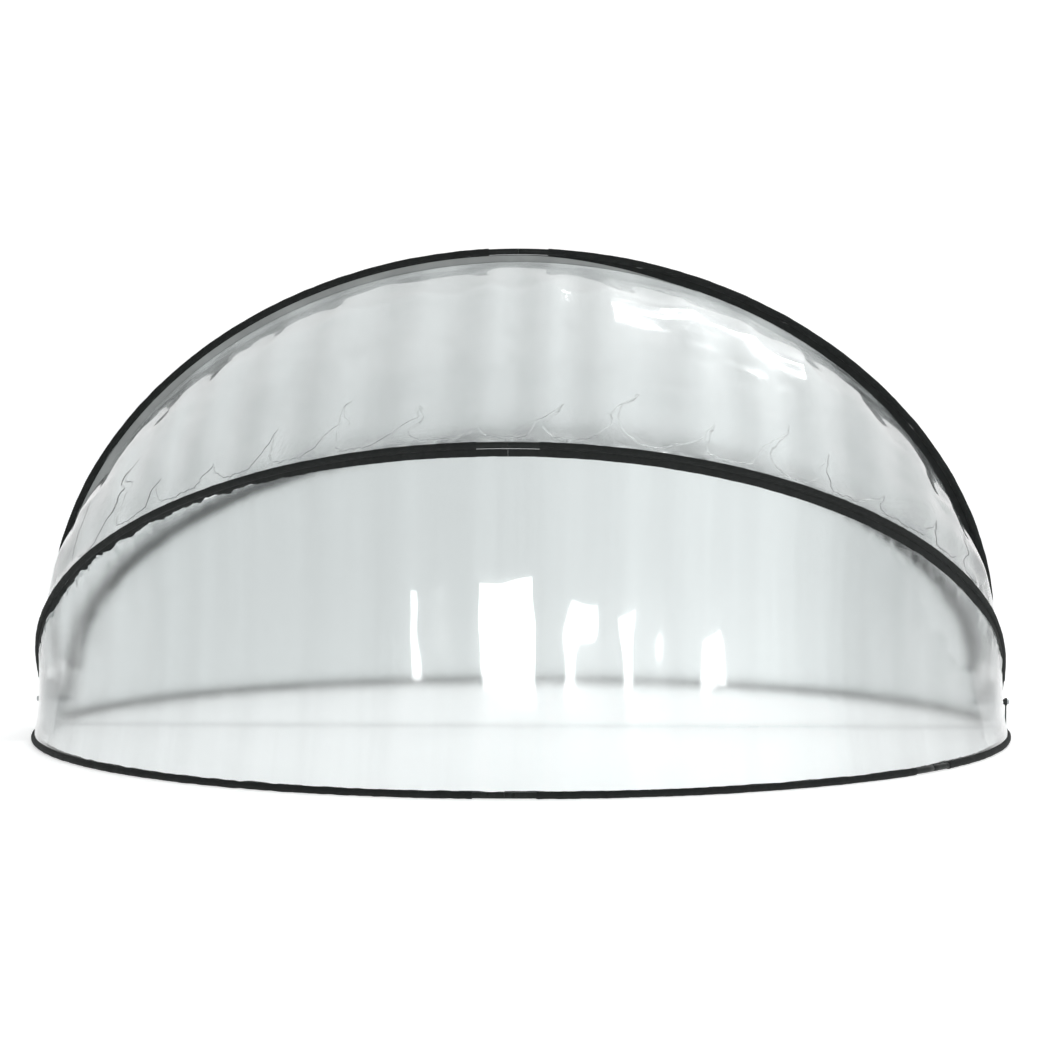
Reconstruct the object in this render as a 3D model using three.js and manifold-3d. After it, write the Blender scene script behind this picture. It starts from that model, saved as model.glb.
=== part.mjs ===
// A free-standing round dome cover: a tube ring on the ground, three arched hoops that swing on a common
// axis at the two sides, and clear panels between them. The front half of the ring swings too, so that the
// clear front folds back over the top.
// Millimetres, +Z up. Origin: the ring's centre on the ground. The front faces -Y and the hinge axis is along X.
import * as THREE from 'three';
import { mergeVertices } from 'three/addons/utils/BufferGeometryUtils.js';
import Module from 'manifold-3d';

const wasm = await Module();
wasm.setup();

// ---- driving dimensions -------------------------------------------------------------------------------
const TUBE_RADIUS = 15;
const TUBE_WALL = 1.5;
const SLEEVE_RADIUS = 18; // over the flats of the fabric sleeve
const SLEEVE_WALL = 2;
const OVERALL_RADIUS = 2500;
const RING_RADIUS = OVERALL_RADIUS - SLEEVE_RADIUS;
const RING_HEIGHT = SLEEVE_RADIUS; // the sleeve rests on the ground
const PIVOT_HEIGHT = 173;

// Each hoop stands in a plane through the hinge axis. angle: from level at the front, over the top.
// shoulder: how far the hoop is squarer than an ellipse.
const FRONT_HOOP = { radiusX: 2443, radiusY: 2423, shoulder: 300, angle: 35.2, height: PIVOT_HEIGHT };
const TOP_HOOP = { radiusX: 2384, radiusY: 2332, shoulder: 360, angle: 80, height: PIVOT_HEIGHT };
const REAR_HOOP = { radiusX: 2342, radiusY: 2290, shoulder: 360, angle: 146.5, height: PIVOT_HEIGHT };
const RING = { radiusX: RING_RADIUS, radiusY: RING_RADIUS, shoulder: 0, height: RING_HEIGHT };
const FRONT_RING = { ...RING, angle: 0 };
const REAR_RING = { ...RING, angle: 180 };

const WINDOW_LENGTH = 290; // bare tube left between two sleeves
const SPIGOT_LENGTH = 160;
const SPIGOT_RADIUS = 12;
const SIDE_WINDOW = 53.4; // degrees round from the middle of the front half ring
const HOOP_SLEEVE_START = 232; // along the hoop, from the hinge axis
const FRONT_RING_START = { tube: 22, sleeve: 46 }; // from the hinge axis, level
const REAR_RING_START = { tube: 60, sleeve: 92 };
const HOOP_TUBE_START = 24;

const GAP = 0.3;
const STEP = 90 / 14; // degrees from one section of a curved tube to the next
const TUBE_SIDES = 8;
const ROUND_SIDES = 16;

const PANEL_THICKNESS = 2.5;
const PANEL_OFFSET = SLEEVE_RADIUS + 3; // from a tube's centre plane to the panel's edge
const PANEL_STEPS = { along: 32, across: 4 };

const HUB_PLATE = { x: 2411.5, thickness: 4, length: 600, height: 290, corner: 45, flangeEnd: 2440 };
const AXLE_RADIUS = 8;
const AXLE_HOLE = AXLE_RADIUS + 0.5;
const AXLE_ENDS = { inner: 2312, outer: 2499 };
const EYE_RADIUS = 20;
const EYE_HALF = 13; // half the width of an eye, along the axle
const PLUG_RADIUS = 9.8;
const PLUG_LENGTH = 46; // inside the tube
const ARM = { thickness: 5, width: 36, bottom: 3, bossHalf: 6 };
const NUT_ACROSS = 24;
const SPACER_RADIUS = 14;
const INNER_NUT = 13;
const OUTER_NUT = 9;
const LUG = { y: 24, length: 34, tongueInner: 2421, tongueThickness: 4, blockHalf: 15, blockTop: 31 };
const SCREW = { radius: 4, headRadius: 7, headHeight: 5, x: 2430, length: 7.5 };
const STRAP = { width: 25, thickness: 2.2, height: 40, end: 2424, play: 2 };

// ---- materials ----------------------------------------------------------------------------------------
const fabric = () => new THREE.MeshStandardMaterial({ color: 0x2b2e2d, roughness: 0.85, metalness: 0 });
const coatedTube = () => new THREE.MeshStandardMaterial({ color: 0x232524, roughness: 0.35, metalness: 0.3 });
const steel = () => new THREE.MeshStandardMaterial({ color: 0x8d9193, roughness: 0.4, metalness: 1 });
const blackSteel = () => new THREE.MeshStandardMaterial({ color: 0x3a3d3c, roughness: 0.5, metalness: 0.4 });
const nylon = () => new THREE.MeshStandardMaterial({ color: 0x2a2c2c, roughness: 0.6, metalness: 0 });
const clearSheet = () => new THREE.MeshStandardMaterial({
  color: 0xdde3e1, roughness: 0.1, metalness: 0, transparent: true, opacity: 0.3, side: THREE.DoubleSide,
});

// ---- helpers ------------------------------------------------------------------------------------------
const radians = THREE.MathUtils.degToRad;
const degrees = THREE.MathUtils.radToDeg;
const dome = new THREE.Group();

function addPiece(name, geometry, material, parent = dome) {
  const mesh = new THREE.Mesh(geometry, material);
  mesh.name = name;
  parent.add(mesh);
  return mesh;
}

function toSolid(geometry) {
  const plain = geometry.clone();
  plain.deleteAttribute('normal');
  plain.deleteAttribute('uv');
  const merged = mergeVertices(plain, 1e-4);
  return new wasm.Manifold(new wasm.Mesh({
    numProp: 3,
    vertProperties: new Float32Array(merged.attributes.position.array),
    triVerts: new Uint32Array(merged.index.array),
  }));
}

function fromSolid(solid) {
  const { vertProperties, triVerts } = solid.getMesh();
  const geometry = new THREE.BufferGeometry();
  geometry.setAttribute('position', new THREE.BufferAttribute(new Float32Array(vertProperties), 3));
  geometry.setIndex(new THREE.BufferAttribute(new Uint32Array(triVerts), 1));
  const faceted = geometry.toNonIndexed();
  faceted.computeVertexNormals();
  return faceted;
}

const join = (...geometries) => geometries.map(toSolid).reduce((whole, solid) => whole.add(solid));

// Both are solid round bars: acrossBar runs along X from one x to another, and alongBar along Y.
function acrossBar(radius, from, to, sides = ROUND_SIDES) {
  const bar = new THREE.CylinderGeometry(radius, radius, Math.abs(to - from), sides);
  return bar.rotateZ(Math.PI / 2).translate((from + to) / 2, 0, 0);
}

function alongBar(radius, from, to, sides = ROUND_SIDES) {
  const bar = new THREE.CylinderGeometry(radius, radius, Math.abs(to - from), sides);
  return bar.translate(0, (from + to) / 2, 0);
}

function box(low, high) {
  const size = high.map((value, axis) => value - low[axis]);
  const middle = high.map((value, axis) => (value + low[axis]) / 2);
  return new THREE.BoxGeometry(...size).translate(...middle);
}

// Where a hoop is in its own plane, in the direction turn from the right hinge, in radians. Bisection finds
// the angle inside the formula that gives the direction.
function hoopPlace({ radiusX, radiusY, shoulder }, turn) {
  const placeAt = (angle) => ({
    x: (radiusX + shoulder) * Math.cos(angle) - shoulder * Math.cos(3 * angle),
    reach: (radiusY - shoulder) * Math.sin(angle) - shoulder * Math.sin(3 * angle),
  });
  let low = 0;
  let high = Math.PI;
  for (let pass = 0; pass < 50; pass += 1) {
    const middle = (low + high) / 2;
    const { x, reach } = placeAt(middle);
    if (Math.atan2(reach / radiusY, x / radiusX) < turn) {
      low = middle;
    } else {
      high = middle;
    }
  }
  return placeAt((low + high) / 2);
}

// A part of a hoop in its own plane. Its stations are angles in degrees from the hinge axis.
class HoopArc extends THREE.Curve {
  constructor(hoop, stations) {
    super();
    this.hoop = hoop;
    this.stations = stations;
  }

  getPoint(share, target = new THREE.Vector3()) {
    const place = share * (this.stations.length - 1);
    const index = Math.min(Math.floor(place + 1e-9), this.stations.length - 2);
    const angle = THREE.MathUtils.lerp(this.stations[index], this.stations[index + 1], place - index);
    const { x, reach } = hoopPlace(this.hoop, radians(angle));
    return target.set(x, reach, 0);
  }

  getUtoTmapping(share) {
    return share;
  }
}

// Every STEP, and at each place in marks, so that a tube and its sleeve bend at the same places.
function stationsBetween(from, to, marks) {
  const near = STEP / 6;
  const kept = [from, to, ...marks.filter((mark) => mark > from + 0.01 && mark < to - 0.01)];
  for (let angle = STEP; angle < 180; angle += STEP) {
    const inside = angle > from && angle < to;
    if (inside && kept.every((other) => Math.abs(other - angle) > near)) {
      kept.push(angle);
    }
  }
  return kept.sort((a, b) => a - b);
}

function ringOutline(outline, radius) {
  for (let corner = 0; corner < TUBE_SIDES; corner += 1) {
    const turn = ((corner + 0.5) / TUBE_SIDES) * 2 * Math.PI;
    const place = [radius * Math.cos(turn), radius * Math.sin(turn)];
    if (corner === 0) {
      outline.moveTo(...place);
    } else {
      outline.lineTo(...place);
    }
  }
  outline.closePath();
  return outline;
}

function bentTube(hoop, from, to, outerRadius, innerRadius, marks) {
  const section = ringOutline(new THREE.Shape(), outerRadius);
  if (innerRadius > 0) {
    section.holes.push(ringOutline(new THREE.Path(), innerRadius));
  }
  const stations = stationsBetween(from, to, marks);
  return new THREE.ExtrudeGeometry(section, {
    steps: stations.length - 1,
    extrudePath: new HoopArc(hoop, stations),
    bevelEnabled: false,
  });
}

// The group holds pieces drawn flat in XY, with the hinge axis along X, and tilts them to the hoop's angle.
function hoopPlane(hoop) {
  const plane = new THREE.Group();
  plane.position.z = hoop.height;
  plane.rotation.x = Math.PI - radians(hoop.angle);
  dome.add(plane);
  return plane;
}

const angleAt = (hoop, distance) => degrees(Math.asin(distance / hoop.radiusY));
const spanOf = (hoop, length) => degrees(length / hoop.radiusY);
const cornerRadius = (flatRadius) => flatRadius / Math.cos(Math.PI / TUBE_SIDES);

// Tubes joined end to end at the places in joints, which are angles in degrees from the right hinge,
// with a spigot inside each joint and sleeves that leave a window of bare tube round it.
function addCoveredTube(label, hoop, joints, start, sides) {
  const plane = hoopPlane(hoop);
  const tubeStart = angleAt(hoop, start.tube);
  const sleeveStart = angleAt(hoop, start.sleeve);
  const plugEnd = angleAt(hoop, start.tube + PLUG_LENGTH + 10);
  const halfWindow = spanOf(hoop, WINDOW_LENGTH / 2);
  const halfSpigot = spanOf(hoop, SPIGOT_LENGTH / 2);
  const halfGap = spanOf(hoop, GAP / 2);
  const aroundJoints = joints.flatMap((joint) => [-halfWindow, -halfSpigot, halfSpigot, halfWindow]
    .map((offset) => joint + offset));
  const ends = [sleeveStart, plugEnd].flatMap((place) => [place, 180 - place]);
  const marks = [...ends, ...aroundJoints];

  const cuts = [tubeStart, ...joints, 180 - tubeStart];
  sides.forEach((side, index) => {
    const first = index === 0;
    const last = index === sides.length - 1;
    const from = cuts[index] + (first ? 0 : halfGap);
    const to = cuts[index + 1] - (last ? 0 : halfGap);
    const tube = bentTube(hoop, from, to, TUBE_RADIUS, TUBE_RADIUS - TUBE_WALL, marks);
    addPiece(`${label}_tube_${side}`, tube, coatedTube(), plane);
    const sleeveFrom = first ? sleeveStart : cuts[index] + halfWindow;
    const sleeveTo = last ? 180 - sleeveStart : cuts[index + 1] - halfWindow;
    const outer = cornerRadius(SLEEVE_RADIUS);
    const inner = cornerRadius(SLEEVE_RADIUS - SLEEVE_WALL);
    const sleeve = bentTube(hoop, sleeveFrom, sleeveTo, outer, inner, marks);
    addPiece(`${label}_sleeve_${side}`, sleeve, fabric(), plane);
  });

  joints.forEach((joint, index) => {
    const suffix = joints.length > 1 ? `_${index + 1}` : '';
    const reach = [joint - halfSpigot, joint + halfSpigot];
    const spigot = bentTube(hoop, ...reach, SPIGOT_RADIUS, 0, [joint]);
    addPiece(`${label}_spigot${suffix}`, spigot, steel(), plane);
  });
  return plane;
}

// ---- hoops, rings and their end fittings --------------------------------------------------------------
const SIDES = [{ side: 'right', sign: 1 }, { side: 'left', sign: -1 }];

// An eye on the axle with a plug that runs up inside the hoop's tube.
function endEye(hoop, bossFrom, bossTo, sign) {
  const boss = acrossBar(EYE_RADIUS, sign * bossFrom, sign * bossTo);
  const plugEnd = HOOP_TUBE_START + PLUG_LENGTH;
  const plug = alongBar(PLUG_RADIUS, 0, plugEnd, 12).translate(sign * hoop.radiusX, 0, 0);
  const hole = acrossBar(AXLE_HOLE, sign * (bossFrom - 1), sign * (bossTo + 1));
  return fromSolid(join(boss, plug).subtract(toSolid(hole)));
}

const plateFaces = { inner: HUB_PLATE.x, outer: HUB_PLATE.x + HUB_PLATE.thickness };
const EYE_BOSSES = {
  front: { from: plateFaces.outer + GAP, to: FRONT_HOOP.radiusX + EYE_HALF },
  top: { from: TOP_HOOP.radiusX - EYE_HALF, to: plateFaces.inner - GAP },
  rear: { from: REAR_HOOP.radiusX - EYE_HALF, to: REAR_HOOP.radiusX + EYE_HALF },
};

function addHoop(label, hoop, boss) {
  const start = { tube: HOOP_TUBE_START, sleeve: HOOP_SLEEVE_START };
  const plane = addCoveredTube(`${label}_hoop`, hoop, [90], start, ['right', 'left']);
  SIDES.forEach(({ side, sign }) => {
    addPiece(`${label}_hoop_eye_${side}`, endEye(hoop, boss.from, boss.to, sign), steel(), plane);
  });
}

addHoop('front', FRONT_HOOP, EYE_BOSSES.front);
addHoop('top', TOP_HOOP, EYE_BOSSES.top);
addHoop('rear', REAR_HOOP, EYE_BOSSES.rear);

const ringSides = ['right', 'middle', 'left'];
addCoveredTube('front_ring', FRONT_RING, [90 - SIDE_WINDOW, 90], FRONT_RING_START, ringSides);
addCoveredTube('rear_ring', REAR_RING, [90], REAR_RING_START, ['right', 'left']);

// ---- the swinging arms of the front half ring ---------------------------------------------------------
function ringArm(sign) {
  const x = sign * RING_RADIUS;
  const half = ARM.thickness / 2;
  const plate = box(
    [x - half, -ARM.width / 2, ARM.bottom],
    [x + half, ARM.width / 2, PIVOT_HEIGHT],
  );
  const boss = acrossBar(EYE_RADIUS, x - ARM.bossHalf, x + ARM.bossHalf).translate(0, 0, PIVOT_HEIGHT);
  const plug = alongBar(PLUG_RADIUS, -FRONT_RING_START.tube - PLUG_LENGTH, 0, 12).translate(x, 0, RING_HEIGHT);
  const hole = acrossBar(AXLE_HOLE, x - ARM.bossHalf - 1, x + ARM.bossHalf + 1).translate(0, 0, PIVOT_HEIGHT);
  return fromSolid(join(plate, boss, plug).subtract(toSolid(hole)));
}

// ---- the hubs at the two sides ------------------------------------------------------------------------
function hubBracket(sign) {
  const halfLength = HUB_PLATE.length / 2;
  const { height, corner, thickness } = HUB_PLATE;
  const outline = new THREE.Shape();
  outline.moveTo(-halfLength, 0);
  outline.lineTo(halfLength, 0);
  outline.lineTo(halfLength, height - corner);
  outline.absarc(halfLength - corner, height - corner, corner, 0, Math.PI / 2);
  outline.absarc(corner - halfLength, height - corner, corner, Math.PI / 2, Math.PI);
  outline.closePath();
  const plate = new THREE.ExtrudeGeometry(outline, { depth: thickness, bevelEnabled: false, curveSegments: 5 });
  // the outline's x and y become the frame's Y and Z, and its depth becomes X
  plate.applyMatrix4(new THREE.Matrix4().makeBasis(
    new THREE.Vector3(0, 1, 0),
    new THREE.Vector3(0, 0, 1),
    new THREE.Vector3(1, 0, 0),
  ));
  plate.translate(sign > 0 ? plateFaces.inner : -plateFaces.outer, 0, 0);
  const flangeSpan = [sign * (plateFaces.inner + 1), sign * HUB_PLATE.flangeEnd].sort((a, b) => a - b);
  const flange = box([flangeSpan[0], -halfLength, 0], [flangeSpan[1], halfLength, thickness]);
  const faces = [sign * (plateFaces.inner - 1), sign * (plateFaces.outer + 1)];
  const axleHole = acrossBar(AXLE_HOLE, ...faces).translate(0, 0, PIVOT_HEIGHT);
  const slotX = [...faces].sort((a, b) => a - b);
  const slot = box(
    [slotX[0], -STRAP.width / 2 - STRAP.play, STRAP.height - STRAP.play],
    [slotX[1], STRAP.width / 2 + STRAP.play, STRAP.height + STRAP.thickness + STRAP.play],
  );
  const screwHole = new THREE.CylinderGeometry(SCREW.radius + GAP, SCREW.radius + GAP, 20, 12);
  screwHole.rotateX(Math.PI / 2).translate(sign * SCREW.x, LUG.y + LUG.length / 2, 0);
  return fromSolid(join(plate, flange)
    .subtract(toSolid(axleHole))
    .subtract(toSolid(slot))
    .subtract(toSolid(screwHole)));
}

// The rear half ring's end: a plug in its tube and a tongue that is screwed down on the hub's flange.
function ringLug(sign) {
  const under = HUB_PLATE.thickness + GAP;
  const yEnd = LUG.y + LUG.length;
  const ringX = sign * RING_RADIUS;
  const tongueX = [sign * LUG.tongueInner, ringX].sort((a, b) => a - b);
  const tongue = box([tongueX[0], LUG.y, under], [tongueX[1], yEnd, under + LUG.tongueThickness]);
  const block = box(
    [ringX - LUG.blockHalf, LUG.y, under],
    [ringX + LUG.blockHalf, yEnd, LUG.blockTop],
  );
  const plug = alongBar(PLUG_RADIUS, yEnd - 2, REAR_RING_START.tube + PLUG_LENGTH, 12);
  plug.translate(ringX, 0, RING_HEIGHT);
  const hole = new THREE.CylinderGeometry(SCREW.radius + GAP, SCREW.radius + GAP, 30, 12);
  hole.rotateX(Math.PI / 2).translate(sign * SCREW.x, LUG.y + LUG.length / 2, 0);
  return fromSolid(join(tongue, block, plug).subtract(toSolid(hole)));
}

function lugScrew(sign) {
  const under = HUB_PLATE.thickness + 2 * GAP + LUG.tongueThickness;
  const shank = new THREE.CylinderGeometry(SCREW.radius, SCREW.radius, SCREW.length, 12);
  shank.rotateX(Math.PI / 2).translate(0, 0, under - SCREW.length / 2 + 0.5);
  const head = new THREE.CylinderGeometry(SCREW.headRadius, SCREW.headRadius, SCREW.headHeight, 6);
  head.rotateX(Math.PI / 2).translate(0, 0, under + SCREW.headHeight / 2);
  return fromSolid(join(shank, head)).translate(sign * SCREW.x, LUG.y + LUG.length / 2, 0);
}

function pipe(outerRadius, from, to, sides = ROUND_SIDES) {
  const hole = acrossBar(AXLE_HOLE, Math.min(from, to) - 1, Math.max(from, to) + 1);
  const whole = toSolid(acrossBar(outerRadius, from, to, sides)).subtract(toSolid(hole));
  return fromSolid(whole).translate(0, 0, PIVOT_HEIGHT);
}

const nutRadius = NUT_ACROSS / 2 / Math.cos(Math.PI / 6);
const armFaces = { inner: RING_RADIUS - ARM.bossHalf, outer: RING_RADIUS + ARM.bossHalf };

SIDES.forEach(({ side, sign }) => {
  addPiece(`hub_bracket_${side}`, hubBracket(sign), blackSteel());
  const axle = acrossBar(AXLE_RADIUS, sign * AXLE_ENDS.inner, sign * AXLE_ENDS.outer);
  addPiece(`hub_axle_${side}`, axle.translate(0, 0, PIVOT_HEIGHT), steel());

  const innerEnd = EYE_BOSSES.rear.from - GAP;
  const innerNut = pipe(nutRadius, sign * (innerEnd - INNER_NUT), sign * innerEnd, 6);
  addPiece(`hub_inner_nut_${side}`, innerNut, steel());
  const outerEnd = armFaces.outer + GAP;
  const outerNut = pipe(nutRadius, sign * outerEnd, sign * (outerEnd + OUTER_NUT), 6);
  addPiece(`hub_outer_nut_${side}`, outerNut, steel());

  const innerGap = [EYE_BOSSES.rear.to + GAP, EYE_BOSSES.top.from - GAP];
  const innerSpacer = pipe(SPACER_RADIUS, sign * innerGap[0], sign * innerGap[1]);
  addPiece(`hub_inner_spacer_${side}`, innerSpacer, nylon());
  const outerGap = [EYE_BOSSES.front.to + GAP, armFaces.inner - GAP];
  const outerSpacer = pipe(SPACER_RADIUS, sign * outerGap[0], sign * outerGap[1]);
  addPiece(`hub_outer_spacer_${side}`, outerSpacer, nylon());

  addPiece(`front_ring_arm_${side}`, ringArm(sign), blackSteel());
  addPiece(`rear_ring_lug_${side}`, ringLug(sign), steel());
  addPiece(`rear_ring_screw_${side}`, lugScrew(sign), steel());
});

const strap = box(
  [-STRAP.end, -STRAP.width / 2, STRAP.height],
  [STRAP.end, STRAP.width / 2, STRAP.height + STRAP.thickness],
);
addPiece('ground_strap', strap, fabric());

// ---- clear panels -------------------------------------------------------------------------------------
// The line beside a hoop on which a panel's edge lies. side is 1 behind the hoop and -1 in front of it.
function panelEdge(hoop, side, turn, target) {
  const tilt = radians(hoop.angle);
  const { x, reach } = hoopPlace(hoop, turn);
  return target.set(
    x,
    side * PANEL_OFFSET * Math.sin(tilt) - reach * Math.cos(tilt),
    side * PANEL_OFFSET * Math.cos(tilt) + reach * Math.sin(tilt) + hoop.height,
  );
}

// A thin sheet stretched straight from hoop to hoop, between angle start at the right hinge and the same
// at the left. It is a divided box whose corners are moved on to the sheet.
function panelBetween(lower, upper, start) {
  const sheet = new THREE.BoxGeometry(1, 1, 1, PANEL_STEPS.along, PANEL_STEPS.across, 1);
  const corners = sheet.attributes.position;
  const from = new THREE.Vector3();
  const to = new THREE.Vector3();
  const place = (along, across) => {
    const turn = radians(THREE.MathUtils.lerp(start, 180 - start, along));
    panelEdge(lower, 1, turn, from);
    panelEdge(upper, -1, turn, to);
    return from.clone().lerp(to, across);
  };
  for (let index = 0; index < corners.count; index += 1) {
    const along = corners.getX(index) + 0.5;
    const across = corners.getY(index) + 0.5;
    const small = 1e-3;
    const alongWay = place(along + small, across).sub(place(along - small, across));
    const acrossWay = place(along, across + small).sub(place(along, across - small));
    const out = alongWay.cross(acrossWay).normalize();
    const moved = place(along, across).addScaledVector(out, corners.getZ(index) * PANEL_THICKNESS);
    corners.setXYZ(index, moved.x, moved.y, moved.z);
  }
  // The back skin's diagonals are turned to match the front's, so that the two skins of a twisted sheet
  // stay apart.
  const corner = sheet.index.array;
  const { start: first, count } = sheet.groups[5];
  for (let at = first; at < first + count; at += 6) {
    const [a, b, d, , c] = corner.slice(at, at + 6);
    corner.set([a, b, c, a, c, d], at);
  }
  sheet.computeVertexNormals();
  return sheet;
}

const PANELS = [
  { name: 'front_panel', lower: FRONT_RING, upper: FRONT_HOOP, start: 1.3 },
  { name: 'upper_front_panel', lower: FRONT_HOOP, upper: TOP_HOOP, start: 5.6 },
  { name: 'upper_rear_panel', lower: TOP_HOOP, upper: REAR_HOOP, start: 5.6 },
  { name: 'rear_panel', lower: REAR_HOOP, upper: REAR_RING, start: 8.6 },
];
PANELS.forEach(({ name, lower, upper, start }) => {
  addPiece(name, panelBetween(lower, upper, start), clearSheet());
});

export default dome;
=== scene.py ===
"""A round dome cover of clear sheet on swinging hoops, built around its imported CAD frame.

Metres, +Z up. The front faces -Y and the hoops' hinge axis is along X.
"""

import math

import bmesh
import bpy
import numpy as np
from mathutils import Matrix, Vector


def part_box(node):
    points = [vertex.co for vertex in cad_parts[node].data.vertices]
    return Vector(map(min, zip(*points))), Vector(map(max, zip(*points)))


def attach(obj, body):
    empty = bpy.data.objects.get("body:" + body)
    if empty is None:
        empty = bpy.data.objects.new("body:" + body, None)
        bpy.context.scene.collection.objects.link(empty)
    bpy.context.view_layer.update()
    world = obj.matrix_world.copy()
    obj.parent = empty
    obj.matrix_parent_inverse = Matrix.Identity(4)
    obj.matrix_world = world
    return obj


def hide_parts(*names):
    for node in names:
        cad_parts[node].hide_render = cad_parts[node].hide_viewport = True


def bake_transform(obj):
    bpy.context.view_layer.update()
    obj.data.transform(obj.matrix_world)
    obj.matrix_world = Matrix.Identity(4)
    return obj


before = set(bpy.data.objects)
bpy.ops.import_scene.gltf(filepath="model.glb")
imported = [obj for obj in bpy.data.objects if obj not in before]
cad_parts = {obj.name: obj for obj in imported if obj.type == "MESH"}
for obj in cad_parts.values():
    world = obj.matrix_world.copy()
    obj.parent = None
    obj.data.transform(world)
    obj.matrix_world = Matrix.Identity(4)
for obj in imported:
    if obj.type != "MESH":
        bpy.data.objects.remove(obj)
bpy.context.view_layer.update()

# ---- dimensions ------------------------------------------------------------------------
TUBE_RADIUS = 0.015
TUBE_WALL = 0.0015
TUBE_ROUNDING = 0.0005
POCKET_OUTER = 0.0178
POCKET_INNER = 0.0156
FIN_LENGTH = 0.036
FIN_THICKNESS = 0.0022
FIN_ROOT = POCKET_OUTER - 0.0012
SHEET_THICKNESS = 0.0008
WINDOW_LENGTH = 0.290
JOINT_GAP = 0.0003
SEAM_GAP = 0.0002  # between two fins that meet in a window, on each side
FIN_SETBACK = 0.004  # of a fin from its pocket's end at the hinge
PIVOT_HEIGHT = 0.173
RING_HEIGHT = 0.018
RING_RADIUS = 2.482
SIDE_JOINT = math.degrees(math.acos(0.5962))  # degrees between the front ring's two joints
ROUND_CORNERS = 28
TABLE_SIZE = 20001


class Hoop:
    """A hoop that stands in a plane through the hinge axis, tilted up from the front by angle.

    It is an ellipse whose shoulders stand out: the larger its shoulder, the squarer it is.
    """

    def __init__(self, radius_x, radius_y, shoulder, angle, height):
        self.radius_y = radius_y
        tilt = math.radians(angle)
        self.reach_axis = np.array([0, -math.cos(tilt), math.sin(tilt)])
        self.normal = np.array([0, math.sin(tilt), math.cos(tilt)])
        self.height = height
        inner = np.linspace(0, math.pi, TABLE_SIZE)
        self.table_x = (radius_x + shoulder) * np.cos(inner) - shoulder * np.cos(3 * inner)
        self.table_reach = (radius_y - shoulder) * np.sin(inner) - shoulder * np.sin(3 * inner)
        self.table_turn = np.arctan2(self.table_reach / radius_y, self.table_x / radius_x)

    def flat(self, turn):
        """Where the hoop is in its own plane, in the directions turn from the right hinge."""
        x = np.interp(turn, self.table_turn, self.table_x)
        reach = np.interp(turn, self.table_turn, self.table_reach)
        return x, reach

    def at(self, turn):
        """The tube's centre, outward direction and plane's normal, at angles from the right hinge."""
        across = np.array([1.0, 0, 0])
        x, reach = self.flat(turn)
        centre = np.outer(x, across) + np.outer(reach, self.reach_axis)
        centre[:, 2] += self.height
        small = 1e-3
        x_before, reach_before = self.flat(turn - small)
        x_after, reach_after = self.flat(turn + small)
        outward = np.outer(reach_after - reach_before, across)
        outward = outward - np.outer(x_after - x_before, self.reach_axis)
        outward /= np.linalg.norm(outward, axis=1)[:, None]
        return centre, outward, np.tile(self.normal, (len(turn), 1))

    def turn_at(self, distance):
        """Roughly the angle from the right hinge at which the hoop is this far from the hinge axis."""
        return math.asin(distance / self.radius_y)

    def span(self, length):
        """Roughly the angle that a length of tube takes up."""
        return length / self.radius_y


FRONT = Hoop(2.443, 2.423, 0.300, 35.2, PIVOT_HEIGHT)
TOP = Hoop(2.384, 2.332, 0.360, 80, PIVOT_HEIGHT)
REAR = Hoop(2.342, 2.290, 0.360, 146.5, PIVOT_HEIGHT)
FRONT_RING = Hoop(RING_RADIUS, RING_RADIUS, 0, 0, RING_HEIGHT)
REAR_RING = Hoop(RING_RADIUS, RING_RADIUS, 0, 180, RING_HEIGHT)


# ---- small helpers ---------------------------------------------------------------------
def smooth(low, high, value):
    """Rises from 0 at low to 1 at high, levelling off at both."""
    share = np.clip((value - low) / (high - low), 0, 1)
    return share * share * (3 - 2 * share)


def ripple(seed, along, across, shortest, longest, count=14):
    """Smooth irregular waves of about unit size, the same for the same seed."""
    draw = np.random.default_rng(seed)
    total = np.zeros(np.broadcast(along, across).shape)
    for _ in range(count):
        length = math.exp(draw.uniform(math.log(shortest), math.log(longest)))
        heading = draw.uniform(0, math.pi)
        phase = draw.uniform(0, 2 * math.pi)
        place = along * math.cos(heading) + across * math.sin(heading)
        total = total + np.sin(2 * math.pi * place / length + phase)
    return total / math.sqrt(count / 2)


def add_uv(mesh, name, uv):
    """A UV layer from one pair for each of the mesh's points."""
    layer = mesh.uv_layers.new(name=name)
    corner = np.zeros(len(mesh.loops), np.int32)
    mesh.loops.foreach_get("vertex_index", corner)
    layer.data.foreach_set("uv", uv[corner].astype(np.float32).ravel())


def finished(name, points, faces, uv, material, sharp):
    """A mesh object with outward faces, smooth but for edges sharper than the given angle."""
    mesh = bpy.data.meshes.new(name)
    mesh.from_pydata(points.tolist(), [], faces)
    add_uv(mesh, "UVMap", uv)
    work = bmesh.new()
    work.from_mesh(mesh)
    bmesh.ops.recalc_face_normals(work, faces=work.faces)
    work.to_mesh(mesh)
    work.free()
    mesh.shade_smooth()
    mesh.set_sharp_from_angle(angle=math.radians(sharp))
    mesh.materials.append(material)
    obj = bpy.data.objects.new(name, mesh)
    bpy.context.scene.collection.objects.link(obj)
    return obj


def merged(parts):
    """One (points, faces, uv) from several."""
    points = []
    faces = []
    uv = []
    shift = 0
    for part_points, part_faces, part_uv in parts:
        points.append(part_points)
        uv.append(part_uv)
        faces += [tuple(corner + shift for corner in face) for face in part_faces]
        shift += len(part_points)
    return np.vstack(points), faces, np.vstack(uv)


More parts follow.
